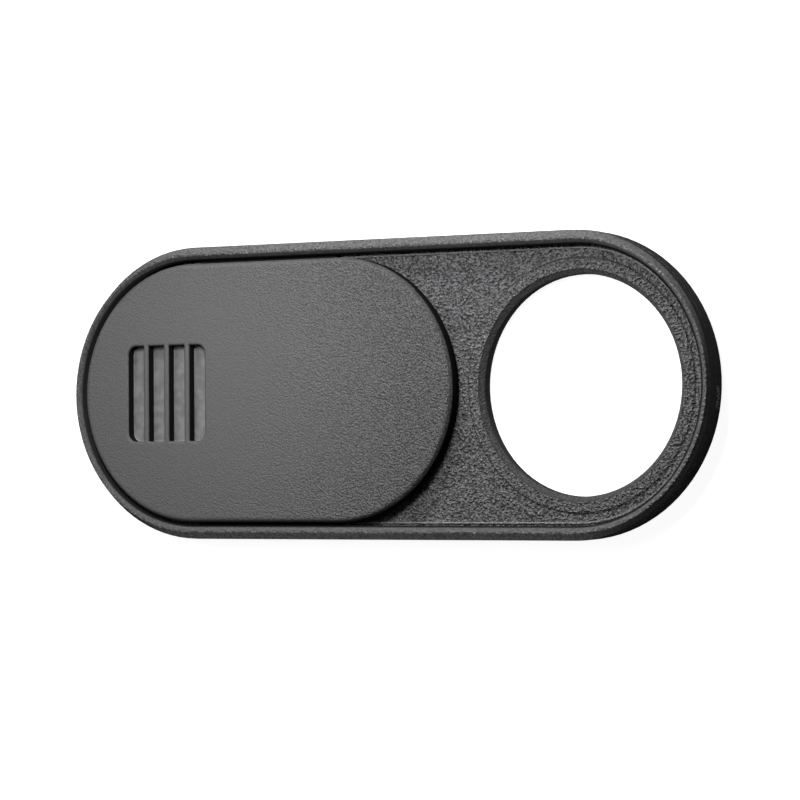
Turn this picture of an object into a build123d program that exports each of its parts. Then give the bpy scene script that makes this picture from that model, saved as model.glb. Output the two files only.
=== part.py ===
"""Webcam cover: a slim oval frame with a sliding shutter, stuck on by an adhesive pad.

Millimetres. The origin is the middle of the adhesive face, +X runs along the length towards the lens window,
+Y across, and +Z out of the front.
"""

from build123d import *
import os

# Frame moulding
FRAME_LENGTH = 40.0
FRAME_HEIGHT = 1.65  # from the back face to the rim's crest
FLOOR_THICKNESS = 0.7
BACK_EDGE_CHAMFER = 0.03

# Rim: a ridge between two slopes, narrower round the ends than along the sides
RIM_SIDE_WIDTH = 0.75
RIM_END_WIDTH = 0.6
CREST_SIDE_INSET = 0.36  # crest from the outline, along the sides
CREST_END_INSET = 0.09  # and at the two ends
CREST_LAND = 0.14  # flat left along the crest
OUTER_SLOPE_HEIGHT = 0.3
INNER_SLOPE_HEIGHT = 0.42

# Undercut channel along each straight side of the rim, and the fine guide rail round its foot
CHANNEL_DEPTH = 0.3
OVERHANG_EDGE = 0.2  # upright edge of the rim between its inner slope and the channel
RAIL_WIDTH = 0.12
RAIL_HEIGHT = 0.08
RAIL_GAP = 0.09  # between the rail and the rim's inner wall
RAIL_CHAMFER = 0.04

# Lens window and the raised lip round it
WINDOW_RADIUS = 5.85
WINDOW_OFFSET = 0.25  # window centre, outboard of the end arc's centre
WINDOW_EDGE_CHAMFER = 0.28
LIP_WIDTH = 0.95
LIP_HEIGHT = 0.08
LIP_SLOPE = 0.13  # run of the lip's outer slope
LIP_MARGIN = 0.6  # floor between the lip and the rim, at the sides

# Shutter
SHUTTER_LENGTH = 24.1
SHUTTER_EDGE_ROUNDING = 0.28
SHUTTER_SET_BACK = 0.02  # shutter's face below the rim's crest
TONGUE_END_INSET = 0.3  # from the end of the shutter's straight side
TONGUE_CORNER = 0.25

# Finger grip in the shutter's face
GRIP_LENGTH = 5.2
GRIP_WIDTH = 5.38
GRIP_CORNER = 0.5
GRIP_DEPTH = 0.54
GRIP_END_DISTANCE = 5.62  # grip's middle from the shutter's outer end
GRIP_EDGE_CHAMFER = 0.06
RIB_COUNT = 3
RIB_WIDTH = 0.34

# Running clearances
SIDE_CLEARANCE = 0.17
END_CLEARANCE = 0.1
RUN_CLEARANCE = 0.05
TONGUE_TIP_CLEARANCE = 0.12
LIP_CLEARANCE = 0.08

# Adhesive pad
PAD_THICKNESS = 0.2
PAD_INSET = 0.8  # pad's outline inside the frame's
PAD_WINDOW_MARGIN = 0.08  # pad's window beyond the lens window

# Levels
BACK_Z = PAD_THICKNESS
FLOOR_Z = BACK_Z + FLOOR_THICKNESS
CREST_Z = BACK_Z + FRAME_HEIGHT
OUTER_SLOPE_Z = CREST_Z - OUTER_SLOPE_HEIGHT
INNER_SLOPE_Z = CREST_Z - INNER_SLOPE_HEIGHT
CHANNEL_TOP_Z = INNER_SLOPE_Z - OVERHANG_EDGE
SHUTTER_BOTTOM_Z = FLOOR_Z + RAIL_HEIGHT + RUN_CLEARANCE
SHUTTER_TOP_Z = CREST_Z - SHUTTER_SET_BACK
TONGUE_TOP_Z = CHANNEL_TOP_Z - RUN_CLEARANCE
RELIEF_TOP_Z = FLOOR_Z + LIP_HEIGHT + LIP_CLEARANCE

# Places and spans that follow from the sizes above
LIP_RADIUS = WINDOW_RADIUS + LIP_WIDTH
CAVITY_WIDTH = 2 * (LIP_RADIUS + LIP_MARGIN)
CAVITY_LENGTH = FRAME_LENGTH - 2 * RIM_END_WIDTH
FRAME_WIDTH = CAVITY_WIDTH + 2 * RIM_SIDE_WIDTH
STRAIGHT_LENGTH = FRAME_LENGTH - FRAME_WIDTH
CREST_LENGTH = FRAME_LENGTH - 2 * CREST_END_INSET
CREST_WIDTH = FRAME_WIDTH - 2 * CREST_SIDE_INSET
RAIL_LENGTH = CAVITY_LENGTH - 2 * RAIL_GAP
RAIL_SPAN = CAVITY_WIDTH - 2 * RAIL_GAP
WINDOW_X = STRAIGHT_LENGTH / 2 + WINDOW_OFFSET
SHUTTER_WIDTH = CAVITY_WIDTH - 2 * SIDE_CLEARANCE
SHUTTER_OUTER_END_X = END_CLEARANCE - CAVITY_LENGTH / 2
SHUTTER_X = SHUTTER_OUTER_END_X + SHUTTER_LENGTH / 2
SHUTTER_TRAVEL = CAVITY_LENGTH - SHUTTER_LENGTH - 2 * END_CLEARANCE
TONGUE_LENGTH = SHUTTER_LENGTH - SHUTTER_WIDTH - 2 * TONGUE_END_INSET
TONGUE_SPAN = CAVITY_WIDTH + 2 * (CHANNEL_DEPTH - TONGUE_TIP_CLEARANCE)
RELIEF_START_X = WINDOW_X - LIP_RADIUS - LIP_CLEARANCE - SHUTTER_TRAVEL
RELIEF_WIDTH = 2 * (LIP_RADIUS + LIP_CLEARANCE)
GRIP_X = SHUTTER_OUTER_END_X + GRIP_END_DISTANCE
RIB_PITCH = (GRIP_LENGTH + RIB_WIDTH) / (RIB_COUNT + 1)

os.makedirs("parts", exist_ok=True)

# Base frame: a shallow oval tray with a ridged rim that is undercut along both sides
with BuildPart() as base_frame:
    with BuildSketch(Plane.XY.offset(BACK_Z)):
        SlotOverall(FRAME_LENGTH, FRAME_WIDTH)
    extrude(amount=OUTER_SLOPE_Z - BACK_Z)
    chamfer(base_frame.edges().group_by(Axis.Z)[0], BACK_EDGE_CHAMFER)
    with BuildSketch(Plane.XY.offset(OUTER_SLOPE_Z)):
        SlotOverall(FRAME_LENGTH, FRAME_WIDTH)
    with BuildSketch(Plane.XY.offset(CREST_Z)):
        SlotOverall(CREST_LENGTH, CREST_WIDTH)
    loft(ruled=True)

    # Cavity: the rim's inner slope, then the upright wall down to the floor
    with BuildSketch(Plane.XY.offset(INNER_SLOPE_Z)):
        SlotOverall(CAVITY_LENGTH, CAVITY_WIDTH)
    with BuildSketch(Plane.XY.offset(CREST_Z)):
        SlotOverall(CREST_LENGTH - 2 * CREST_LAND, CREST_WIDTH - 2 * CREST_LAND)
    loft(ruled=True, mode=Mode.SUBTRACT)
    with BuildSketch(Plane.XY.offset(FLOOR_Z)):
        SlotOverall(CAVITY_LENGTH, CAVITY_WIDTH)
    extrude(amount=INNER_SLOPE_Z - FLOOR_Z, mode=Mode.SUBTRACT)

    # Undercut channels below the rim's inner slope
    with BuildSketch(Plane.XY.offset(FLOOR_Z)):
        Rectangle(STRAIGHT_LENGTH, CAVITY_WIDTH + 2 * CHANNEL_DEPTH)
    extrude(amount=CHANNEL_TOP_Z - FLOOR_Z, mode=Mode.SUBTRACT)

    # Guide rail round the foot of the rim
    with BuildSketch(Plane.XY.offset(FLOOR_Z)):
        SlotOverall(RAIL_LENGTH, RAIL_SPAN)
        SlotOverall(RAIL_LENGTH - 2 * RAIL_WIDTH, RAIL_SPAN - 2 * RAIL_WIDTH, mode=Mode.SUBTRACT)
    extrude(amount=RAIL_HEIGHT)
    rail_tops = base_frame.edges().filter_by_position(Axis.Z, FLOOR_Z + RAIL_HEIGHT, FLOOR_Z + RAIL_HEIGHT)
    chamfer(rail_tops, RAIL_CHAMFER)

    # Lip round the lens window, then the window through both
    with Locations((WINDOW_X, 0, FLOOR_Z)):
        Cone(LIP_RADIUS, LIP_RADIUS - LIP_SLOPE, LIP_HEIGHT, align=(Align.CENTER, Align.CENTER, Align.MIN))
    with BuildSketch(Plane.XY.offset(BACK_Z)):
        with Locations((WINDOW_X, 0)):
            Circle(WINDOW_RADIUS)
    extrude(amount=FRAME_HEIGHT, mode=Mode.SUBTRACT)
    with Locations((WINDOW_X, 0, FLOOR_Z + LIP_HEIGHT)):
        Cone(
            WINDOW_RADIUS,
            WINDOW_RADIUS + WINDOW_EDGE_CHAMFER,
            WINDOW_EDGE_CHAMFER,
            align=(Align.CENTER, Align.CENTER, Align.MAX),
            mode=Mode.SUBTRACT,
        )
base_frame.part.label = "base_frame"
export_step(base_frame.part, "parts/base_frame.step")

# Shutter: an oval plate with side tongues, a ribbed grip and a relieved underside
with BuildPart() as shutter:
    with BuildSketch(Plane.XY.offset(SHUTTER_BOTTOM_Z)):
        with Locations((SHUTTER_X, 0)):
            SlotOverall(SHUTTER_LENGTH, SHUTTER_WIDTH)
    extrude(amount=SHUTTER_TOP_Z - SHUTTER_BOTTOM_Z)
    fillet(shutter.edges().group_by(Axis.Z)[-1], SHUTTER_EDGE_ROUNDING)
    rim_of_face = shutter.edges().group_by(Axis.Z)[-1]

    # Grip: a sunk panel with ribs left standing level with the face
    with BuildSketch(Plane.XY.offset(SHUTTER_TOP_Z)):
        with Locations((GRIP_X, 0)):
            RectangleRounded(GRIP_LENGTH, GRIP_WIDTH, GRIP_CORNER)
            with GridLocations(RIB_PITCH, 0, RIB_COUNT, 1):
                Rectangle(RIB_WIDTH, GRIP_WIDTH, mode=Mode.SUBTRACT)
    extrude(amount=-GRIP_DEPTH, mode=Mode.SUBTRACT)
    chamfer(shutter.edges().group_by(Axis.Z)[-1] - rim_of_face, GRIP_EDGE_CHAMFER)

    # Tongues that run in the rim's channels
    with BuildSketch(Plane.XY.offset(SHUTTER_BOTTOM_Z)):
        with Locations((SHUTTER_X, 0)):
            RectangleRounded(TONGUE_LENGTH, TONGUE_SPAN, TONGUE_CORNER)
    extrude(amount=TONGUE_TOP_Z - SHUTTER_BOTTOM_Z)

    # Relief that passes over the window's lip, open at the leading end
    with BuildSketch(Plane.XY.offset(SHUTTER_BOTTOM_Z)):
        with Locations((RELIEF_START_X, 0)):
            Rectangle(SHUTTER_LENGTH, RELIEF_WIDTH, align=(Align.MIN, Align.CENTER))
    extrude(amount=RELIEF_TOP_Z - SHUTTER_BOTTOM_Z, mode=Mode.SUBTRACT)
shutter.part.label = "shutter"
export_step(shutter.part, "parts/shutter.step")

# Adhesive pad: die-cut tape on the back, with its own window
with BuildPart() as adhesive_pad:
    with BuildSketch():
        SlotOverall(FRAME_LENGTH - 2 * PAD_INSET, FRAME_WIDTH - 2 * PAD_INSET)
        with Locations((WINDOW_X, 0)):
            Circle(WINDOW_RADIUS + PAD_WINDOW_MARGIN, mode=Mode.SUBTRACT)
    extrude(amount=PAD_THICKNESS)
adhesive_pad.part.label = "adhesive_pad"
export_step(adhesive_pad.part, "parts/adhesive_pad.step")

print(f"shutter travel {SHUTTER_TRAVEL:.3f} mm, window centre x {WINDOW_X:.3f} mm")
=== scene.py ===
# %% [markdown]
# # A slim webcam cover
# The object is a stick-on cover for a laptop camera: an oval frame with a raised rim and a round
# lens window, a shutter that slides along it, and a die-cut adhesive pad on its back. The packed
# model is loaded as a fixed frame, in metres, so every moulding already has its true shape and
# place. This lesson gives each one its finish, adds the small marks that moulding leaves, and then
# sets the floor, the light and the camera.

# %% Load the frame
from math import radians

import bpy
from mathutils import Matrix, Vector


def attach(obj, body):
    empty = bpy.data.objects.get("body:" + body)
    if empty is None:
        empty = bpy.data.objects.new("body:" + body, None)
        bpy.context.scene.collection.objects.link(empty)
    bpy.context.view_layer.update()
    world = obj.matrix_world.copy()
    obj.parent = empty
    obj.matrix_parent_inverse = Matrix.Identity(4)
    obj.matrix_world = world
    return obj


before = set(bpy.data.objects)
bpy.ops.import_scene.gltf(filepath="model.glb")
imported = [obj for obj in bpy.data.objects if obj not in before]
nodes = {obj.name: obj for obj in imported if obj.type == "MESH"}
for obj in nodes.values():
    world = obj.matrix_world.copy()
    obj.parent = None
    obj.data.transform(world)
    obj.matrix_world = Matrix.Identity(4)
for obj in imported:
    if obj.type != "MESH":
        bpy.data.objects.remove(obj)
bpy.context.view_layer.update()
MM = 0.001


def in_metres(lengths):
    return tuple(length * MM for length in lengths)


for name, node in sorted(nodes.items()):
    size = [round(value / MM, 2) for value in node.dimensions]
    print(f"{name}: {len(node.data.polygons)} faces, {size} mm")

# %% [markdown]
# ## Levels that the finishes follow
# A finish on a moulding changes with the surface of the mould that made it: the floor of the frame,
# the crest of the rim, the face of the shutter and the bottom of its grip were each cut in their
# own way. The finishes below tell those surfaces apart by their height, so the heights are written
# down once, in millimetres above the adhesive face.

# %% Levels
FLOOR_LEVEL = 0.90
LIP_LEVEL = 0.98
CREST_LEVEL = 1.85
GRIP_BOTTOM_LEVEL = 1.29
SHUTTER_FACE_LEVEL = 1.83

print("crest above floor:", round(CREST_LEVEL - FLOOR_LEVEL, 2), "mm")

# %% [markdown]
# ## Small helpers for node trees
# Every finish is a tree of nodes built in code, and a few helpers keep those trees short. The first
# four add a node with its settings, set a node's inputs, join two sockets, and start a group with
# its named sockets.

# %% Helpers that build a tree
def add_node(tree, kind, label, **settings):
    node = tree.nodes.new(kind)
    node.label = label
    for key, value in settings.items():
        setattr(node, key, value)
    return node


def set_inputs(node, values):
    for socket_name, value in values.items():
        node.inputs[socket_name].default_value = value


def join(tree, source, target):
    tree.links.new(source, target)


def start_group(kind, name, inputs, outputs):
    group = bpy.data.node_groups.new(name, kind)
    for way, sockets in (("INPUT", inputs), ("OUTPUT", outputs)):
        for label, socket in sockets.items():
            group.interface.new_socket(label, in_out=way, socket_type="NodeSocket" + socket)
    entry = add_node(group, "NodeGroupInput", "inputs")
    leave = add_node(group, "NodeGroupOutput", "outputs")
    return group, entry, leave


print("helpers that build a tree ready")

# %% [markdown]
# The others work on masks and colours. One makes a mask that fades as a value rises between two
# limits, one turns a mask round, one works out a sum or the larger of two values, one a product,
# and one blends two colours by a mask.

# %% Helpers for masks and colours
WHOLE = (0.0, 1.0)
FALLING = (1.0, 0.0)


def fade(tree, label, value, limits, ends=WHOLE):
    ramp = add_node(tree, "ShaderNodeMapRange", label, interpolation_type="SMOOTHSTEP")
    join(tree, value, ramp.inputs["Value"])
    set_inputs(ramp, {"From Min": limits[0], "From Max": limits[1]})
    set_inputs(ramp, {"To Min": ends[0], "To Max": ends[1]})
    return ramp.outputs["Result"]


def turn_round(tree, label, mask):
    return fade(tree, label, mask, WHOLE, FALLING)


def work_out(tree, label, operation, first, second):
    node = add_node(tree, "ShaderNodeMath", label, operation=operation)
    join(tree, first, node.inputs[0])
    join(tree, second, node.inputs[1])
    return node.outputs["Value"]


def product(tree, label, first, second):
    return work_out(tree, label, "MULTIPLY", first, second)


def blend(tree, label, factor, first, second):
    node = add_node(tree, "ShaderNodeMix", label, data_type="RGBA")
    for side, colour in (("A", first), ("B", second)):
        if isinstance(colour, tuple):
            node.inputs[side].default_value = (*colour, 1.0)
        else:
            join(tree, colour, node.inputs[side])
    join(tree, factor, node.inputs["Factor"])
    return node.outputs["Result"]


print("helpers for masks and colours ready")

# %% [markdown]
# ## Moulded grain, shared by both plastics
# The mould's steel was eroded by sparks, which leaves a field of tiny rounded craters, and the
# plastic copies them as pebbles a fraction of a millimetre apart. The pebbles could be modelled,
# but there are tens of thousands of them and each is far thinner than the wall, so they are a
# height that bends the light. Soft noise gives the rounded swell and a cell pattern gives the
# creases between pebbles. The frame and the shutter differ only in spacing and depth, so the
# pattern is one node group that both materials use.

# %% Grain group
SWELL = {"Scale": 1.0, "Detail": 1.5, "Roughness": 0.55, "Distortion": 0.5}
PEBBLES = {"Scale": 0.8, "Smoothness": 0.5}
CREASE_DEPTH = 0.45
PEBBLE_TOPS = (0.05, 0.5)


def build_grain_group():
    group, entry, leave = start_group(
        "ShaderNodeTree", "moulded grain", {"Position": "Vector", "Pebbles per metre": "Float"},
        {"Height": "Float", "Shade": "Float"})
    scaled = add_node(group, "ShaderNodeVectorMath", "position in pebbles", operation="SCALE")
    join(group, entry.outputs["Position"], scaled.inputs[0])
    join(group, entry.outputs["Pebbles per metre"], scaled.inputs["Scale"])

    swell = add_node(group, "ShaderNodeTexNoise", "rounded swell", noise_dimensions="3D")
    set_inputs(swell, SWELL)
    join(group, scaled.outputs["Vector"], swell.inputs["Vector"])
    cells = add_node(group, "ShaderNodeTexVoronoi", "pebbles", feature="SMOOTH_F1")
    set_inputs(cells, PEBBLES)
    join(group, scaled.outputs["Vector"], cells.inputs["Vector"])

    height = add_node(group, "ShaderNodeMath", "swell less creases", operation="MULTIPLY_ADD")
    join(group, cells.outputs["Distance"], height.inputs[0])
    height.inputs[1].default_value = -CREASE_DEPTH
    join(group, swell.outputs["Fac"], height.inputs[2])
    join(group, height.outputs["Value"], leave.inputs["Height"])
    tops = fade(group, "pebble tops", height.outputs["Value"], PEBBLE_TOPS)
    join(group, tops, leave.inputs["Shade"])
    return group


grain_group = build_grain_group()
print("grain group sockets:", [socket.name for socket in grain_group.interface.items_tree])

# %% [markdown]
# ## Where the grain lies
# Grain is left on faces that the mould's halves open away from. Upright walls would drag on it, so
# they are smooth, and both plastics paint them darker, as shade. A second shared group gives both
# masks, from how far the surface faces up, and the height in millimetres, from which each plastic
# finds its own levels.

# %% Facing group
UP_LIMITS = (0.6, 0.95)
WALL_LIMITS = (0.1, 0.45)


def build_facing_group():
    group, entry, leave = start_group(
        "ShaderNodeTree", "level and facing", {"Position": "Vector", "Normal": "Vector"},
        {"Level": "Float", "Faces up": "Float", "Wall": "Float"})
    place = add_node(group, "ShaderNodeSeparateXYZ", "place")
    join(group, entry.outputs["Position"], place.inputs["Vector"])
    level = add_node(group, "ShaderNodeMath", "level in millimetres", operation="MULTIPLY")
    join(group, place.outputs["Z"], level.inputs[0])
    level.inputs[1].default_value = 1 / MM
    join(group, level.outputs["Value"], leave.inputs["Level"])

    facing = add_node(group, "ShaderNodeSeparateXYZ", "facing")
    join(group, entry.outputs["Normal"], facing.inputs["Vector"])
    faces_up = fade(group, "faces up", facing.outputs["Z"], UP_LIMITS)
    join(group, faces_up, leave.inputs["Faces up"])
    wall = fade(group, "upright wall", facing.outputs["Z"], WALL_LIMITS, FALLING)
    join(group, wall, leave.inputs["Wall"])
    return group


facing_group = build_facing_group()
print("facing group sockets:", [socket.name for socket in facing_group.interface.items_tree])

# %% [markdown]
# ## A plastic, step by step
# Each plastic starts the same way: a Principled shader, the object's own coordinates, and the two
# groups. What differs is worked out by the caller and handed to the finish.

# %% Plastic starter
def start_plastic(name, pebble_spacing):
    material = bpy.data.materials.new(name)
    material.use_nodes = True
    tree = material.node_tree
    place = add_node(tree, "ShaderNodeTexCoord", "place on the piece")
    grain = add_node(tree, "ShaderNodeGroup", "moulded grain", node_tree=grain_group)
    set_inputs(grain, {"Pebbles per metre": 1 / (pebble_spacing * MM)})
    join(tree, place.outputs["Object"], grain.inputs["Position"])
    facing = add_node(tree, "ShaderNodeGroup", "level and facing", node_tree=facing_group)
    join(tree, place.outputs["Object"], facing.inputs["Position"])
    join(tree, place.outputs["Normal"], facing.inputs["Normal"])
    return material, tree, place, grain, facing


print("plastic starter ready")

# %% [markdown]
# The plastic's body is black and dull. The satin sheen lies only on the faces that look up, since
# walls drag on the steel as the mould opens and come out flat, so the sheen is a coat whose weight
# is a mask. The grain's height goes through a Bump node, whose distance sets how strong the relief
# is. No moulded edge is knife sharp: the steel's corners are worn round by a fraction of a
# millimetre, which is too small to model on every edge, so a Bevel node bends the light round them.

# %% Plastic finish
EDGE_ROUNDING = 0.18
EDGE_SAMPLES = 8


def finish_plastic(tree, height, depth, colour, sheen, sheen_roughness):
    shader = tree.nodes["Principled BSDF"]
    set_inputs(shader, {"Roughness": 1.0, "Specular IOR Level": 0.0})
    set_inputs(shader, {"Coat Roughness": sheen_roughness})
    worn_edge = add_node(tree, "ShaderNodeBevel", "worn edges", samples=EDGE_SAMPLES)
    set_inputs(worn_edge, {"Radius": EDGE_ROUNDING * MM})
    bump = add_node(tree, "ShaderNodeBump", "grain relief")
    set_inputs(bump, {"Strength": 1.0, "Distance": depth * MM})
    join(tree, worn_edge.outputs["Normal"], bump.inputs["Normal"])
    join(tree, height, bump.inputs["Height"])
    join(tree, bump.outputs["Normal"], shader.inputs["Normal"])
    join(tree, bump.outputs["Normal"], shader.inputs["Coat Normal"])
    join(tree, sheen, shader.inputs["Coat Weight"])
    join(tree, colour, shader.inputs["Base Color"])


print("plastic finish ready")

# %% [markdown]
# ## Frame plastic
# The frame's floor has the coarser grain. Its pebble tops are a little paler than the creases:
# partly the grain's own tone, partly painted shade in the creases. The crest of the rim is handled,
# so its grain is worn shallow and nearly one even tone. The relief fades out on the upright walls,
# because a mask scales it before it reaches the Bump node.

# %% Grain and tones of the frame
FRAME_PEBBLE_SPACING = 0.118
FRAME_GRAIN_DEPTH = 0.42
RIM_LEVELS = (LIP_LEVEL + 0.05, CREST_LEVEL - 0.4)
CREST_GRAIN_SHARE = 0.3
CREST_EVENNESS = 0.7
FRAME_CREASE_TONE_AND_SHADE = (0.052, 0.052, 0.053)
FRAME_PALE = (0.175, 0.175, 0.180)
FRAME_CREST = (0.060, 0.060, 0.061)

frame_plastic, tree, place, grain, facing = start_plastic("frame plastic", FRAME_PEBBLE_SPACING)
level = facing.outputs["Level"]
faces_up = facing.outputs["Faces up"]
on_rim = fade(tree, "floor to rim", level, RIM_LEVELS)
level_share = fade(tree, "worn on the rim", on_rim, WHOLE, (1.0, CREST_GRAIN_SHARE))
grained = product(tree, "grained faces", faces_up, level_share)
height = product(tree, "relief", grain.outputs["Height"], grained)
# Painted shade: the creases are coloured darker than the pebble tops, on top of the grain's own
# tone.
colour = blend(tree, "crease shade and grain tone", grain.outputs["Shade"], FRAME_CREASE_TONE_AND_SHADE, FRAME_PALE)
even_tone = fade(tree, "worn tone", on_rim, WHOLE, (0.0, CREST_EVENNESS))
colour = blend(tree, "even tone on the rim", even_tone, colour, FRAME_CREST)
print("frame's grain and tones:", len(tree.nodes), "nodes")

# %% [markdown]
# A band at the foot of the short slopes of the window's lip and of the guide rail, between the two
# levels, is painted darker as shade. The leaning faces below the rim, chiefly the window's edge
# slope, are painted dark as shade.

# %% Painted shade at the foot and on the window's edge
ABOVE_FLOOR = (FLOOR_LEVEL + 0.005, FLOOR_LEVEL + 0.03)
BELOW_LIP = (LIP_LEVEL - 0.02, LIP_LEVEL - 0.004)
FRAME_FOOT_SHADE = (0.040, 0.040, 0.040)
FRAME_WINDOW_EDGE_SHADE = (0.032, 0.032, 0.032)

above_floor = fade(tree, "above the floor", level, ABOVE_FLOOR)
below_lip = fade(tree, "below the lip's top", level, BELOW_LIP, FALLING)
foot = product(tree, "foot", above_floor, below_lip)
# Painted shade: the band at the foot of the lip and the rail is coloured darker.
colour = blend(tree, "painted shade at the foot", foot, colour, FRAME_FOOT_SHADE)
off_rim = turn_round(tree, "off the rim", on_rim)
leaning = turn_round(tree, "leaning faces", faces_up)
window_edge = product(tree, "window edge", off_rim, leaning)
# Painted shade: leaning faces below the rim, such as the window's edge, are coloured dark.
colour = blend(tree, "painted shade on the window's edge", window_edge, colour, FRAME_WINDOW_EDGE_SHADE)
print("with painted shade at the foot and on the window's edge:", len(tree.nodes), "nodes")

# %% [markdown]
# The next two painted marks, a shade and a highlight, follow the oval. Its round ends are drawn
# about two points on its long middle line, half the straight length either side of the middle, so
# the nearest point on that line is found by clamping the length, and the step from there to the
# surface points outwards.

# %% Outwards from the middle line
HALF_STRAIGHT = 11.85

axes = add_node(tree, "ShaderNodeSeparateXYZ", "axes")
join(tree, place.outputs["Object"], axes.inputs["Vector"])
nearest = add_node(tree, "ShaderNodeClamp", "along the middle line")
set_inputs(nearest, {"Min": -HALF_STRAIGHT * MM, "Max": HALF_STRAIGHT * MM})
join(tree, axes.outputs["X"], nearest.inputs["Value"])
on_line = add_node(tree, "ShaderNodeCombineXYZ", "nearest on the middle line")
join(tree, nearest.outputs["Result"], on_line.inputs["X"])
outwards = add_node(tree, "ShaderNodeVectorMath", "outwards", operation="SUBTRACT")
join(tree, place.outputs["Object"], outwards.inputs[0])
join(tree, on_line.outputs["Vector"], outwards.inputs[1])
print("middle line:", 2 * HALF_STRAIGHT, "mm long")

# %% [markdown]
# The rim's inner slope, above the channel under it, is painted black low down, as shade. The
# painted band reaches higher at the round ends than on the long sides.
# The slope is told from the outer one by its normal, which points in towards the middle line.

# %% Painted shade on the rim's inner slope
LEANS_IN = (-3.0, -1.0)
ROUND_ENDS = (0.0, 6.0)
INNER_SHADE_LEVELS = (1.62, 1.74)
INNER_SHADE_STEP = 0.10
FRAME_INNER_SHADE = (0.012, 0.012, 0.012)

leans_out = add_node(tree, "ShaderNodeVectorMath", "leans out", operation="DOT_PRODUCT")
join(tree, outwards.outputs["Vector"], leans_out.inputs[0])
join(tree, place.outputs["Normal"], leans_out.inputs[1])
leans_in = fade(tree, "leans in", leans_out.outputs["Value"], in_metres(LEANS_IN), FALLING)
out_axes = add_node(tree, "ShaderNodeSeparateXYZ", "outward axes")
join(tree, outwards.outputs["Vector"], out_axes.inputs["Vector"])
past_straight = add_node(tree, "ShaderNodeMath", "past the straight", operation="ABSOLUTE")
join(tree, out_axes.outputs["X"], past_straight.inputs[0])
side_step = fade(tree, "lower on the sides", past_straight.outputs["Value"], in_metres(ROUND_ENDS),
                 (INNER_SHADE_STEP, 0.0))
inner_shade_level = work_out(tree, "level for the painted shade", "ADD", level, side_step)
low_on_slope = fade(tree, "low enough for painted shade", inner_shade_level, INNER_SHADE_LEVELS, FALLING)
inner_slope_shade = product(tree, "painted shade on the inner slope", leans_in, low_on_slope)
inner_slope_shade = product(tree, "inner-slope shade on the rim", inner_slope_shade, on_rim)
# Painted shade: the lower part of the rim's inner slope is coloured black.
colour = blend(tree, "painted inner-slope shade", inner_slope_shade, colour, FRAME_INNER_SHADE)
print("with the painted inner-slope shade:", len(tree.nodes), "nodes")

# %% [markdown]
# The shutter rides on the guide rail, which runs all round inside the rim. The rail's top is
# painted pale, as a highlight. The rail is as high as the window's lip, so its distance from the
# middle line tells the two apart.

# %% Painted highlight on the rail
RAIL_REACH = (7.20, 7.26)
RAIL_START = (LIP_LEVEL - 0.05, LIP_LEVEL - 0.01)
RAIL_END = (LIP_LEVEL + 0.05, LIP_LEVEL + 0.1)
FRAME_RAIL_HIGHLIGHT = (0.200, 0.200, 0.202)

reach = add_node(tree, "ShaderNodeVectorMath", "reach from the middle line", operation="LENGTH")
join(tree, outwards.outputs["Vector"], reach.inputs[0])
far_out = fade(tree, "as far as the rail", reach.outputs["Value"], in_metres(RAIL_REACH))
rail_high = fade(tree, "as high as the rail", level, RAIL_START)
rail_low = fade(tree, "below the rim", level, RAIL_END, FALLING)
rail_band = product(tree, "rail band", rail_high, rail_low)
rail_top = product(tree, "rail's top", rail_band, far_out)
# Painted highlight: the top of the rail is coloured pale.
colour = blend(tree, "painted rail highlight", rail_top, colour, FRAME_RAIL_HIGHLIGHT)
print("with the painted rail highlight:", len(tree.nodes), "nodes")

# %% [markdown]
# Last come the upright walls, painted darker as shade, and the sheen, which is stronger on the
# scuffed tops of the pebbles than in the creases.

# %% Walls and sheen of the frame
FRAME_WALL_SHADE = (0.036, 0.036, 0.036)
FRAME_CREASE_SHEEN = 0.5
FRAME_SHEEN_ROUGHNESS = 0.30

# Painted shade: the upright walls are coloured darker than the faces that look up.
colour = blend(tree, "painted shade on the walls", facing.outputs["Wall"], colour, FRAME_WALL_SHADE)
scuffed = fade(tree, "sheen on the tops", grain.outputs["Shade"], WHOLE, (FRAME_CREASE_SHEEN, 1.0))
sheen = product(tree, "sheen", scuffed, faces_up)
finish_plastic(tree, height, FRAME_GRAIN_DEPTH, colour, sheen, FRAME_SHEEN_ROUGHNESS)
print("frame plastic:", len(tree.nodes), "nodes")

# %% [markdown]
# ## Shutter plastic
# The shutter's face has a finer grain. Fingers push it by its grip, so the grain is rubbed down
# round the grip and whole at the far end.

# %% Grain and tones of the shutter
SHUTTER_PEBBLE_SPACING = 0.095
SHUTTER_GRAIN_DEPTH = 0.13
FACE_LEVELS = (GRIP_BOTTOM_LEVEL + 0.1, SHUTTER_FACE_LEVEL - 0.2)
GRIP_MIDDLE = (-13.68, 0.0, SHUTTER_FACE_LEVEL)
RUBBED_REACH = (3.0, 20.0)
RUBBED_GRAIN_SHARE = 0.15
SHUTTER_CREASE_TONE_AND_SHADE = (0.038, 0.038, 0.039)
SHUTTER_PALE = (0.075, 0.075, 0.077)

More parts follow.
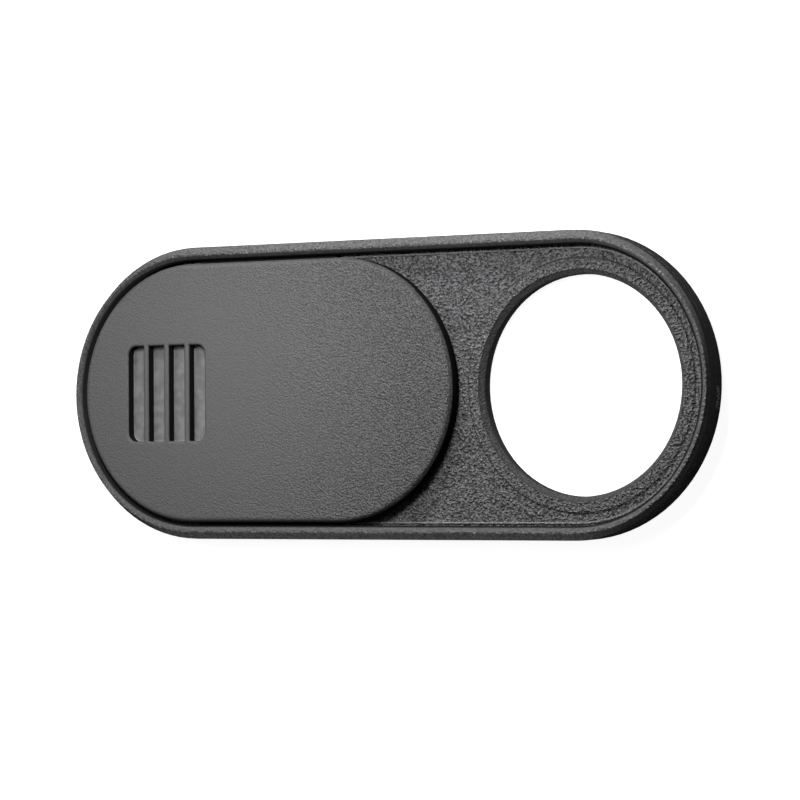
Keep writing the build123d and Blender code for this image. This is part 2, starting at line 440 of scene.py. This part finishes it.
shutter_plastic, tree, place, grain, facing = start_plastic(
    "shutter plastic", SHUTTER_PEBBLE_SPACING)
level = facing.outputs["Level"]
faces_up = facing.outputs["Faces up"]
from_grip = add_node(tree, "ShaderNodeVectorMath", "distance from the grip", operation="DISTANCE")
from_grip.inputs[1].default_value = in_metres(GRIP_MIDDLE)
join(tree, place.outputs["Object"], from_grip.inputs[0])
rubbed = fade(tree, "rubbed by fingers", from_grip.outputs["Value"], in_metres(RUBBED_REACH),
              (RUBBED_GRAIN_SHARE, 1.0))
on_face = fade(tree, "face, not groove", level, FACE_LEVELS)
grained = product(tree, "up and rubbed", faces_up, rubbed)
grained = product(tree, "grained face", grained, on_face)
height = product(tree, "relief", grain.outputs["Height"], grained)
crease = turn_round(tree, "creases", grain.outputs["Shade"])
open_crease = product(tree, "creases left open", crease, rubbed)
# Painted shade: open creases are coloured darker than the pebble tops, on top of the grain's own
# tone.
colour = blend(tree, "crease shade and grain tone on the shutter", open_crease, SHUTTER_PALE, SHUTTER_CREASE_TONE_AND_SHADE)
print("shutter's grain and tones:", len(tree.nodes), "nodes")

# %% [markdown]
# The bottoms of the grip's grooves were cut by a smooth electrode: they have no grain, and they are
# painted paler, in patches, as a highlight.

# %% Painted highlight in the grip
GROOVE_LEVELS = (GRIP_BOTTOM_LEVEL, GRIP_BOTTOM_LEVEL + 0.1)
HIGHLIGHT_PATCHES_PER_METRE = 1500.0
HIGHLIGHT_PATCH_LIMITS = (0.35, 0.65)
GROOVE_HIGHLIGHT_DIM = (0.100, 0.100, 0.101)
GROOVE_HIGHLIGHT_FULL = (0.145, 0.145, 0.146)

in_groove = fade(tree, "groove, not face", level, GROOVE_LEVELS, FALLING)
patches = add_node(tree, "ShaderNodeTexNoise", "patches of dust", noise_dimensions="3D")
set_inputs(patches, {"Scale": HIGHLIGHT_PATCHES_PER_METRE})
join(tree, place.outputs["Object"], patches.inputs["Vector"])
brighter = fade(tree, "patches", patches.outputs["Fac"], HIGHLIGHT_PATCH_LIMITS)
groove_highlight = blend(tree, "thin to thick dust", brighter, GROOVE_HIGHLIGHT_DIM, GROOVE_HIGHLIGHT_FULL)
# Painted highlight: the groove bottoms are coloured paler, in patches.
colour = blend(tree, "dust in the grooves", in_groove, colour, groove_highlight)
print("with dust in the grip:", len(tree.nodes), "nodes")

# %% [markdown]
# The upright walls, and the tongues below the grooves, are painted black as shade and have no
# sheen.

# %% Walls, tongues and sheen of the shutter
TONGUE_LEVELS = (GRIP_BOTTOM_LEVEL - 0.08, GRIP_BOTTOM_LEVEL - 0.03)
SHUTTER_SHADE_BLACK = (0.010, 0.010, 0.010)
SHUTTER_CREASE_SHEEN = 0.4
SHUTTER_SHEEN_ROUGHNESS = 0.5

above_tongue = fade(tree, "above the tongues", level, TONGUE_LEVELS)
# Painted shade: the upright walls and the tongues are coloured black.
colour = blend(tree, "painted shade on the walls", facing.outputs["Wall"], colour, SHUTTER_SHADE_BLACK)
colour = blend(tree, "painted shade on the tongues", above_tongue, SHUTTER_SHADE_BLACK, colour)
top_face = product(tree, "up and above the tongues", faces_up, above_tongue)
scuffed = fade(tree, "sheen on the tops", open_crease, WHOLE, (1.0, SHUTTER_CREASE_SHEEN))
sheen = product(tree, "sheen", top_face, scuffed)
finish_plastic(tree, height, SHUTTER_GRAIN_DEPTH, colour, sheen, SHUTTER_SHEEN_ROUGHNESS)
print("shutter plastic:", len(tree.nodes), "nodes")

# %% [markdown]
# ## Adhesive tape
# The pad is double-sided tape: a tissue carrier soaked in adhesive. Tissue is a felt of long
# fibres, so its pattern is a noise drawn out along one direction, faint in colour and in relief.
# Where the adhesive is damp it has a dull shine.

# %% Adhesive tape
FIBRE_DRAW = (0.2, 1.0, 1.0)
FIBRES = {"Scale": 2500.0, "Detail": 3.0, "Distortion": 1.5}
FIBRE_RELIEF = 0.01
TAPE_DARK = (0.085, 0.085, 0.085)
TAPE_PALE = (0.125, 0.125, 0.122)
DAMP_LIMITS = (0.3, 0.7)
DAMP_SHEEN = (0.7, 0.1)
TAPE_SHEEN_ROUGHNESS = 0.6

adhesive_tape = bpy.data.materials.new("adhesive tape")
adhesive_tape.use_nodes = True
tree = adhesive_tape.node_tree
place = add_node(tree, "ShaderNodeTexCoord", "place on the pad")
drawn_out = add_node(tree, "ShaderNodeMapping", "drawn out along the tape")
set_inputs(drawn_out, {"Scale": FIBRE_DRAW})
join(tree, place.outputs["Object"], drawn_out.inputs["Vector"])
fibres = add_node(tree, "ShaderNodeTexNoise", "tissue fibres", noise_dimensions="3D")
set_inputs(fibres, FIBRES)
join(tree, drawn_out.outputs["Vector"], fibres.inputs["Vector"])
felt = fibres.outputs["Fac"]
damp = fade(tree, "damp and dry patches", felt, DAMP_LIMITS, DAMP_SHEEN)
colour = blend(tree, "fibres", felt, TAPE_DARK, TAPE_PALE)
finish_plastic(tree, felt, FIBRE_RELIEF, colour, damp, TAPE_SHEEN_ROUGHNESS)
print("adhesive tape:", len(tree.nodes), "nodes")

# %% [markdown]
# ## Dress the mouldings
# The loaded mouldings keep their meshes, so only their material slots change.

# %% Dress the mouldings
FINISHES = {
    "base_frame": frame_plastic, "shutter": shutter_plastic, "adhesive_pad": adhesive_tape}

for name, finish in FINISHES.items():
    nodes[name].data.materials.clear()
    nodes[name].data.materials.append(finish)
    print(name, "wears", finish.name)

# %% [markdown]
# ## Marks of the mould
# Two small marks show that the frame was moulded. Where the mould's halves meet, a hair of plastic
# creeps between them and leaves a parting line that follows the oval all round the outer wall.
# Where the plastic was let in, the stub was snapped off and left a rough scar on the end wall by
# the window. Both follow the oval path, so each is a Geometry Nodes tree with the oval's sizes as
# its inputs. The tree runs once, and what it made is kept as a plain mesh.

# %% Helpers for the marks
def start_mark(name, sizes):
    inputs = {size: "Float" for size in sizes}
    return start_group(
        "GeometryNodeTree", name, {**inputs, "Finish": "Material"}, {"Piece": "Geometry"})


def end_mark(tree, entry, leave, geometry):
    plain = add_node(tree, "GeometryNodeRealizeInstances", "plain mesh")
    dressed = add_node(tree, "GeometryNodeSetMaterial", "dressed")
    join(tree, geometry, plain.inputs["Geometry"])
    join(tree, plain.outputs["Geometry"], dressed.inputs["Geometry"])
    join(tree, entry.outputs["Finish"], dressed.inputs["Material"])
    join(tree, dressed.outputs["Geometry"], leave.inputs["Piece"])


def make_piece(name, tree, values):
    piece = bpy.data.objects.new(name, bpy.data.meshes.new(name + "_seed"))
    bpy.context.scene.collection.objects.link(piece)
    modifier = piece.modifiers.new("shape", "NODES")
    modifier.node_group = tree
    for socket in tree.interface.items_tree:
        if socket.in_out == "INPUT":
            modifier[socket.identifier] = values[socket.name]
    evaluated = piece.evaluated_get(bpy.context.evaluated_depsgraph_get())
    shape = bpy.data.meshes.new_from_object(evaluated)
    piece.modifiers.remove(modifier)
    piece.data = shape
    size = [round(value / MM, 2) for value in piece.dimensions]
    print(f"{name}: {len(shape.polygons)} faces, {size} mm")
    return piece


def shift(tree, label, along, up):
    offset = add_node(tree, "ShaderNodeCombineXYZ", label)
    join(tree, along, offset.inputs["X"])
    join(tree, up, offset.inputs["Z"])
    return offset.outputs["Vector"]


print("helpers for the marks ready")

# %% [markdown]
# ### Parting line
# A circle of the end radius is pulled apart at its middle into the oval, and a thin round thread is
# swept along it. The thread is half sunk in the wall, so only a hair stands out.

# %% Parting line
END_RADIUS = 8.15
PARTING_LEVEL = 1.1
THREAD_RADIUS = 0.02
OVAL_STEPS = 256
THREAD_SIDES = 8

tree, entry, leave = start_mark(
    "parting line", ["End radius", "Half straight", "Level", "Thread radius"])
oval = add_node(tree, "GeometryNodeCurvePrimitiveCircle", "circle of the ends")
set_inputs(oval, {"Resolution": OVAL_STEPS})
join(tree, entry.outputs["End radius"], oval.inputs["Radius"])
where = add_node(tree, "GeometryNodeInputPosition", "where")
along = add_node(tree, "ShaderNodeSeparateXYZ", "along the length")
join(tree, where.outputs["Position"], along.inputs["Vector"])
which_end = add_node(tree, "ShaderNodeMath", "which end", operation="SIGN")
join(tree, along.outputs["X"], which_end.inputs[0])
pulled = product(
    tree, "pulled to its end", which_end.outputs["Value"], entry.outputs["Half straight"])
up_the_wall = shift(tree, "to the ends and up the wall", pulled, entry.outputs["Level"])
apart = add_node(tree, "GeometryNodeSetPosition", "pulled apart into the oval")
join(tree, oval.outputs["Curve"], apart.inputs["Geometry"])
join(tree, up_the_wall, apart.inputs["Offset"])
thread = add_node(tree, "GeometryNodeCurvePrimitiveCircle", "thread")
set_inputs(thread, {"Resolution": THREAD_SIDES})
join(tree, entry.outputs["Thread radius"], thread.inputs["Radius"])
sweep = add_node(tree, "GeometryNodeCurveToMesh", "thread along the oval")
join(tree, apart.outputs["Geometry"], sweep.inputs["Curve"])
join(tree, thread.outputs["Curve"], sweep.inputs["Profile Curve"])
end_mark(tree, entry, leave, sweep.outputs["Mesh"])

parting_line = make_piece("parting_line", tree, {
    "End radius": END_RADIUS * MM, "Half straight": HALF_STRAIGHT * MM,
    "Level": PARTING_LEVEL * MM, "Thread radius": THREAD_RADIUS * MM, "Finish": frame_plastic})
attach(parting_line, "frame")

# %% [markdown]
# ### Gate scar
# Plastic whitens where it tears, so the scar has a paler finish than the wall, on the same grain
# group at a finer spacing.

# %% Torn plastic
TORN_SPACING = 0.06
TORN_RELIEF = 0.03
TORN_DARK = (0.10, 0.10, 0.10)
TORN_PALE = (0.36, 0.36, 0.37)
TORN_SHEEN_ROUGHNESS = 0.5

torn_plastic, tree, _, grain, _ = start_plastic("torn plastic", TORN_SPACING)
torn = grain.outputs["Shade"]
colour = blend(tree, "torn and whitened", torn, TORN_DARK, TORN_PALE)
finish_plastic(tree, grain.outputs["Height"], TORN_RELIEF, colour, torn, TORN_SHEEN_ROUGHNESS)
print("torn plastic:", len(tree.nodes), "nodes")

# %% [markdown]
# Torn plastic is a crowd of small crumbs. They are set along a short arc of the end wall, scattered
# a little up, down, sideways and inwards with a fixed seed, and each is a squashed ball of its own
# size, about half sunk in the wall.

# %% Gate scar
SCAR_START, SCAR_SWEEP = radians(-9.5), radians(8.0)
SCAR_LEVEL = 0.62
CRUMB_COUNT = 48
CRUMB_RADIUS = 0.06
CRUMB_SUBDIVISIONS = 2
CRUMB_SMALLEST, CRUMB_LARGEST = (0.35, 0.4, 0.4), (0.6, 1.2, 1.0)
SCATTER_LEAST, SCATTER_MOST = (-0.015, -0.03, -0.16), (0.0, 0.03, 0.16)
SCATTER_SEED, SIZE_SEED = 4, 9


def draw_vectors(tree, label, least, most, seed):
    draw = add_node(tree, "FunctionNodeRandomValue", label, data_type="FLOAT_VECTOR")
    draw.inputs[0].default_value = least
    draw.inputs[1].default_value = most
    set_inputs(draw, {"Seed": seed})
    return draw.outputs[0]


tree, entry, leave = start_mark(
    "gate scar", ["End radius", "Half straight", "Level", "Crumb radius"])
arc = add_node(tree, "GeometryNodeCurveArc", "arc of the end wall", mode="RADIUS")
set_inputs(arc, {"Start Angle": SCAR_START, "Sweep Angle": SCAR_SWEEP})
join(tree, entry.outputs["End radius"], arc.inputs["Radius"])
spots = add_node(tree, "GeometryNodeCurveToPoints", "spots along the arc", mode="COUNT")
set_inputs(spots, {"Count": CRUMB_COUNT})
join(tree, arc.outputs["Curve"], spots.inputs["Curve"])
to_wall = shift(
    tree, "out to the end and up", entry.outputs["Half straight"], entry.outputs["Level"])
on_wall = add_node(tree, "GeometryNodeSetPosition", "on the end wall")
join(tree, spots.outputs["Points"], on_wall.inputs["Geometry"])
join(tree, to_wall, on_wall.inputs["Offset"])
scatter = draw_vectors(
    tree, "scatter", in_metres(SCATTER_LEAST), in_metres(SCATTER_MOST), SCATTER_SEED)
scattered = add_node(tree, "GeometryNodeSetPosition", "scattered")
join(tree, on_wall.outputs["Geometry"], scattered.inputs["Geometry"])
join(tree, scatter, scattered.inputs["Offset"])
crumb = add_node(tree, "GeometryNodeMeshIcoSphere", "crumb")
set_inputs(crumb, {"Subdivisions": CRUMB_SUBDIVISIONS})
join(tree, entry.outputs["Crumb radius"], crumb.inputs["Radius"])
crumb_size = draw_vectors(tree, "crumb sizes", CRUMB_SMALLEST, CRUMB_LARGEST, SIZE_SEED)
crowd = add_node(tree, "GeometryNodeInstanceOnPoints", "crowd of crumbs")
join(tree, scattered.outputs["Geometry"], crowd.inputs["Points"])
join(tree, crumb.outputs["Mesh"], crowd.inputs["Instance"])
join(tree, crumb_size, crowd.inputs["Scale"])
end_mark(tree, entry, leave, crowd.outputs["Instances"])

gate_scar = make_piece("gate_scar", tree, {
    "End radius": END_RADIUS * MM, "Half straight": HALF_STRAIGHT * MM,
    "Level": SCAR_LEVEL * MM, "Crumb radius": CRUMB_RADIUS * MM, "Finish": torn_plastic})
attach(gate_scar, "frame")

# %% [markdown]
# ## Floor
# The cover lies on a plain pale floor. A lamp this small and near can't light a whole floor evenly,
# so the floor also glows, but only to rays from the camera and rays that a gloss or a clear piece
# sends on, which see it white. What the lamp adds to it is missing in the object's shadow, so the
# shadow stays. Light that bounces from it onto the object is that of a plain grey card.

# %% Floor
FLOOR_HALF_SIZE = 1.0
FLOOR_CORNERS = [(-1, -1), (1, -1), (1, 1), (-1, 1)]
FLOOR_GREY = (0.45, 0.45, 0.45)
FLOOR_GLOW = 0.94
BLACK, WHITE = (0.0, 0.0, 0.0), (1.0, 1.0, 1.0)

floor_mesh = bpy.data.meshes.new("floor")
corners = [(x * FLOOR_HALF_SIZE, y * FLOOR_HALF_SIZE, 0) for x, y in FLOOR_CORNERS]
floor_mesh.from_pydata(corners, [], [(0, 1, 2, 3)])
floor = bpy.data.objects.new("floor", floor_mesh)
bpy.context.scene.collection.objects.link(floor)

floor_card = bpy.data.materials.new("floor card")
floor_card.use_nodes = True
tree = floor_card.node_tree
card = tree.nodes["Principled BSDF"]
set_inputs(card, {"Base Color": (*FLOOR_GREY, 1.0), "Roughness": 1.0})
set_inputs(card, {"Specular IOR Level": 0.0, "Emission Strength": FLOOR_GLOW})
rays = add_node(tree, "ShaderNodeLightPath", "which ray").outputs
seen = work_out(tree, "camera or gloss", "MAXIMUM", rays["Is Camera Ray"], rays["Is Glossy Ray"])
seen = work_out(tree, "or clear", "MAXIMUM", seen, rays["Is Transmission Ray"])
glow = blend(tree, "white when seen", seen, BLACK, WHITE)
join(tree, glow, card.inputs["Emission Color"])
floor_mesh.materials.append(floor_card)
print("floor", 2 * FLOOR_HALF_SIZE, "m square")

# %% [markdown]
# ## Light
# Three lamps light the cover. A small bench lamp stands close above the far long side: being close,
# it lights that side more than the near one, and it casts the short shadows under the edges. A
# broad soft panel stands at the shutter's end, where the flat faces mirror it to the camera, and
# gives them their satin sheen. Light from a window comes in low over the far side and catches the
# slopes of the rim that face it. The room adds a faint even grey.

# %% Light
LAMPS = {
    "bench lamp": {
        "direction": (0.2, 0.52, 1.0), "distance": 40.0, "size": (13.0, 13.0), "power": 0.019},
    "soft panel": {
        "direction": (-0.52, 0.32, 1.0), "distance": 72.0, "size": (38.0, 56.0), "power": 0.018},
    "window light": {
        "direction": (-0.1, 0.9, 0.5), "distance": 150.0, "size": (60.0, 40.0), "power": 0.17}}
ROOM_GREY = (0.04, 0.04, 0.04)


def hang_lamp(name, direction, distance, size, power):
    data = bpy.data.lights.new(name, "AREA")
    data.shape = "ELLIPSE"
    data.size, data.size_y = in_metres(size)
    data.energy = power
    lamp = bpy.data.objects.new(name, data)
    towards = Vector(direction).normalized()
    lamp.location = towards * distance * MM
    lamp.rotation_euler = (-towards).to_track_quat("-Z", "Y").to_euler()
    lamp.visible_camera = False
    bpy.context.scene.collection.objects.link(lamp)
    print(name, "at", [round(value / MM, 1) for value in lamp.location], "mm")


for name, settings in LAMPS.items():
    hang_lamp(name, **settings)

room = bpy.data.worlds.new("room")
room.use_nodes = True
set_inputs(room.node_tree.nodes["Background"], {"Color": (*ROOM_GREY, 1.0)})
bpy.context.scene.world = room

# %% [markdown]
# ## Camera
# The cover is seen from above and from the window's end, about 31 degrees off the vertical, through
# a long lens.

# %% Camera
CAMERA_PLACE = (96.00, -4.56, 159.25)
CAMERA_TURN = (1.005, 30.949, -0.435)
CAMERA_LENS = 153.44
SENSOR_WIDTH = 36.0
NEAREST_SEEN = 1.0

camera_data = bpy.data.cameras.new("photo camera")
camera_data.lens = CAMERA_LENS
camera_data.sensor_width = SENSOR_WIDTH
camera_data.clip_start = NEAREST_SEEN * MM
camera = bpy.data.objects.new("photo camera", camera_data)
camera.location = in_metres(CAMERA_PLACE)
camera.rotation_euler = [radians(angle) for angle in CAMERA_TURN]
bpy.context.scene.collection.objects.link(camera)
bpy.context.scene.camera = camera
bpy.context.scene.view_settings.view_transform = "Standard"
print("camera lens", CAMERA_LENS, "mm")
